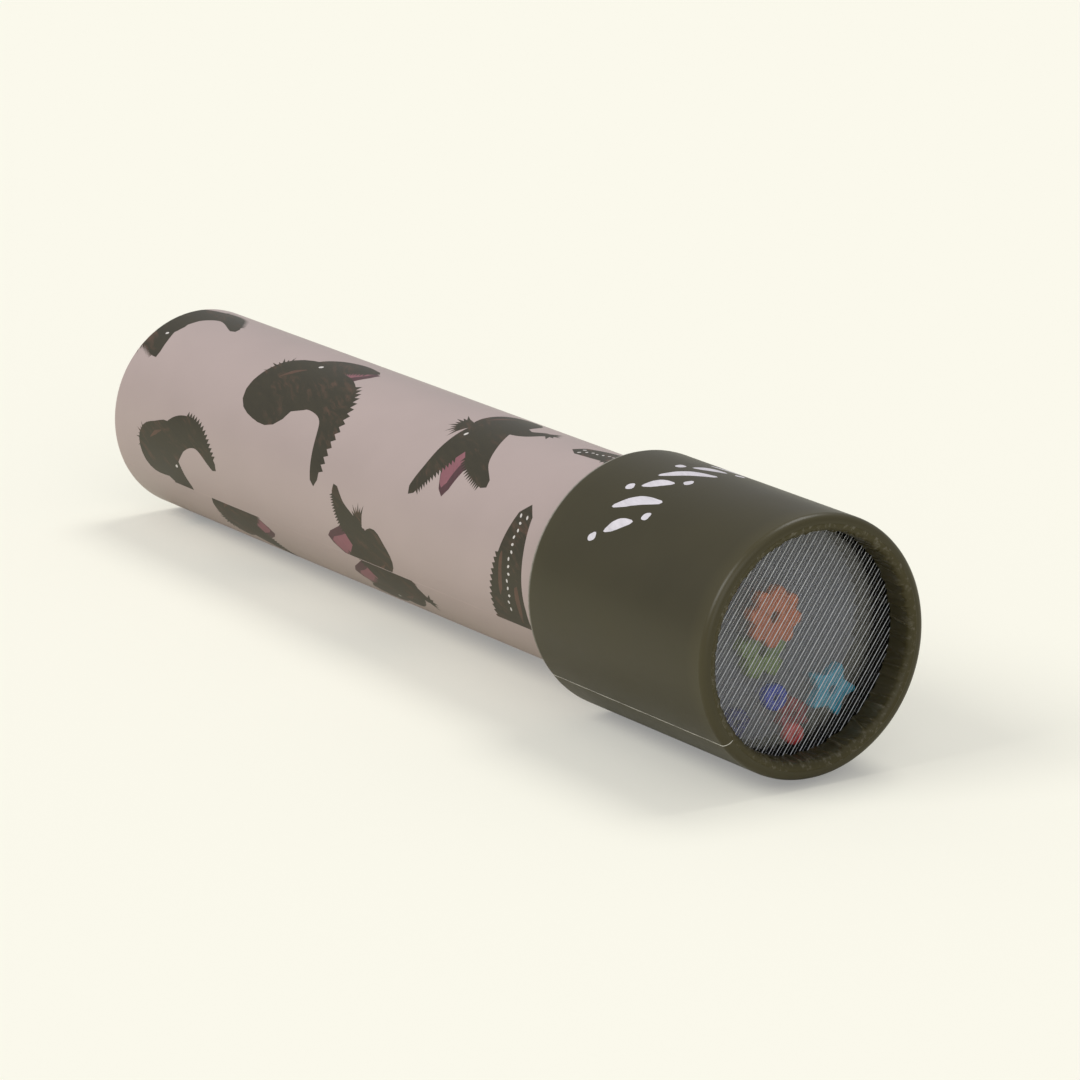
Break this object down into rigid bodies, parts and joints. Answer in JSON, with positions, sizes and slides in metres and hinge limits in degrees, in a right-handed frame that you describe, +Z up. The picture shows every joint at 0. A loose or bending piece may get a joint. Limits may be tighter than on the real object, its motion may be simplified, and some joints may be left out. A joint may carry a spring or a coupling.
{
  "type": "kaleidoscope",
  "caption": "Card kaleidoscope: a long paper-covered tube with a peephole, and a turning head with loose coloured beads behind a ribbed clear window.",
  "frame": {"origin": "midway along the kaleidoscope, under its optical axis, on the surface that the head lies on", "axes": "+X along the optical axis from the eyepiece to the ribbed window, +Z up as the kaleidoscope lies on its side"},
  "size_m": [0.218, 0.05, 0.05],
  "materials": {
    "printed_paper": "satin printed paper, dusty mauve",
    "olive_paper": "satin printed paper, dark olive",
    "greyboard": "wound greyboard",
    "black_card": "black card",
    "label_card": "olive card",
    "felt": "felt",
    "mirror_face": "silvered plastic",
    "clear_plastic": "clear plastic sheet",
    "orange_plastic": "translucent plastic",
    "green_plastic": "translucent plastic",
    "teal_plastic": "translucent plastic",
    "red_plastic": "translucent plastic",
    "blue_plastic": "translucent plastic",
    "navy_plastic": "translucent plastic",
    "coral_plastic": "translucent plastic"
  },
  "bodies": {
    "tube": {"tube_shell": "greyboard", "tube_wrap": "printed_paper", "eyepiece_disc": "greyboard", "end_label": "label_card", "peephole_window": "clear_plastic", "neck_tube": "black_card", "stop_collar": "black_card", "mirror_floor": "mirror_face", "mirror_left": "mirror_face", "mirror_right": "mirror_face", "mirror_jacket": "black_card", "rear_mirror_support": "greyboard", "front_mirror_support": "black_card"},
    "head": {"head_shell": "greyboard", "head_wrap": "olive_paper", "retaining_ring": "greyboard", "guide_strip": "felt", "cell_seat_ring": "black_card", "ribbed_window": "clear_plastic", "cell_spacer_ring": "black_card", "inner_window": "clear_plastic"},
    "red_charge": {"red_bead": "red_plastic"},
    "orange_charge": {"orange_bead": "orange_plastic"},
    "green_charge": {"green_bead": "green_plastic"},
    "teal_charge": {"teal_star": "teal_plastic"},
    "blue_charge": {"blue_bead": "blue_plastic"},
    "navy_charge": {"navy_bead": "navy_plastic"},
    "coral_charge": {"coral_bead": "coral_plastic"}
  },
  "joints": [
    {"name": "head_turn", "type": "hinge", "parent": "tube", "child": "head", "pos_m": [0.0805, 0, 0.025], "axis": [1, 0, 0], "continuous": true},
    {"name": "charge_slide", "type": "hinge", "parent": "head", "child": "red_charge", "pos_m": [0.0941, 0, 0.025], "axis": [1, 0, 0], "continuous": true},
    {"name": "orange_spin", "type": "hinge", "parent": "red_charge", "child": "orange_charge", "pos_m": [0.0993, -0.00302, 0.02948], "axis": [1, 0, 0], "continuous": true},
    {"name": "green_spin", "type": "hinge", "parent": "red_charge", "child": "green_charge", "pos_m": [0.0941, -0.00182, 0.02144], "axis": [1, 0, 0], "continuous": true},
    {"name": "teal_spin", "type": "hinge", "parent": "red_charge", "child": "teal_charge", "pos_m": [0.0993, 0.01, 0.01349], "axis": [1, 0, 0], "continuous": true},
    {"name": "blue_spin", "type": "hinge", "parent": "red_charge", "child": "blue_charge", "pos_m": [0.0993, -0.00273, 0.01404], "axis": [1, 0, 0], "continuous": true},
    {"name": "navy_spin", "type": "hinge", "parent": "red_charge", "child": "navy_charge", "pos_m": [0.0941, -0.00763, 0.00864], "axis": [1, 0, 0], "continuous": true},
    {"name": "coral_spin", "type": "hinge", "parent": "red_charge", "child": "coral_charge", "pos_m": [0.0993, 0.00163, 0.00632], "axis": [1, 0, 0], "continuous": true}
  ]
}
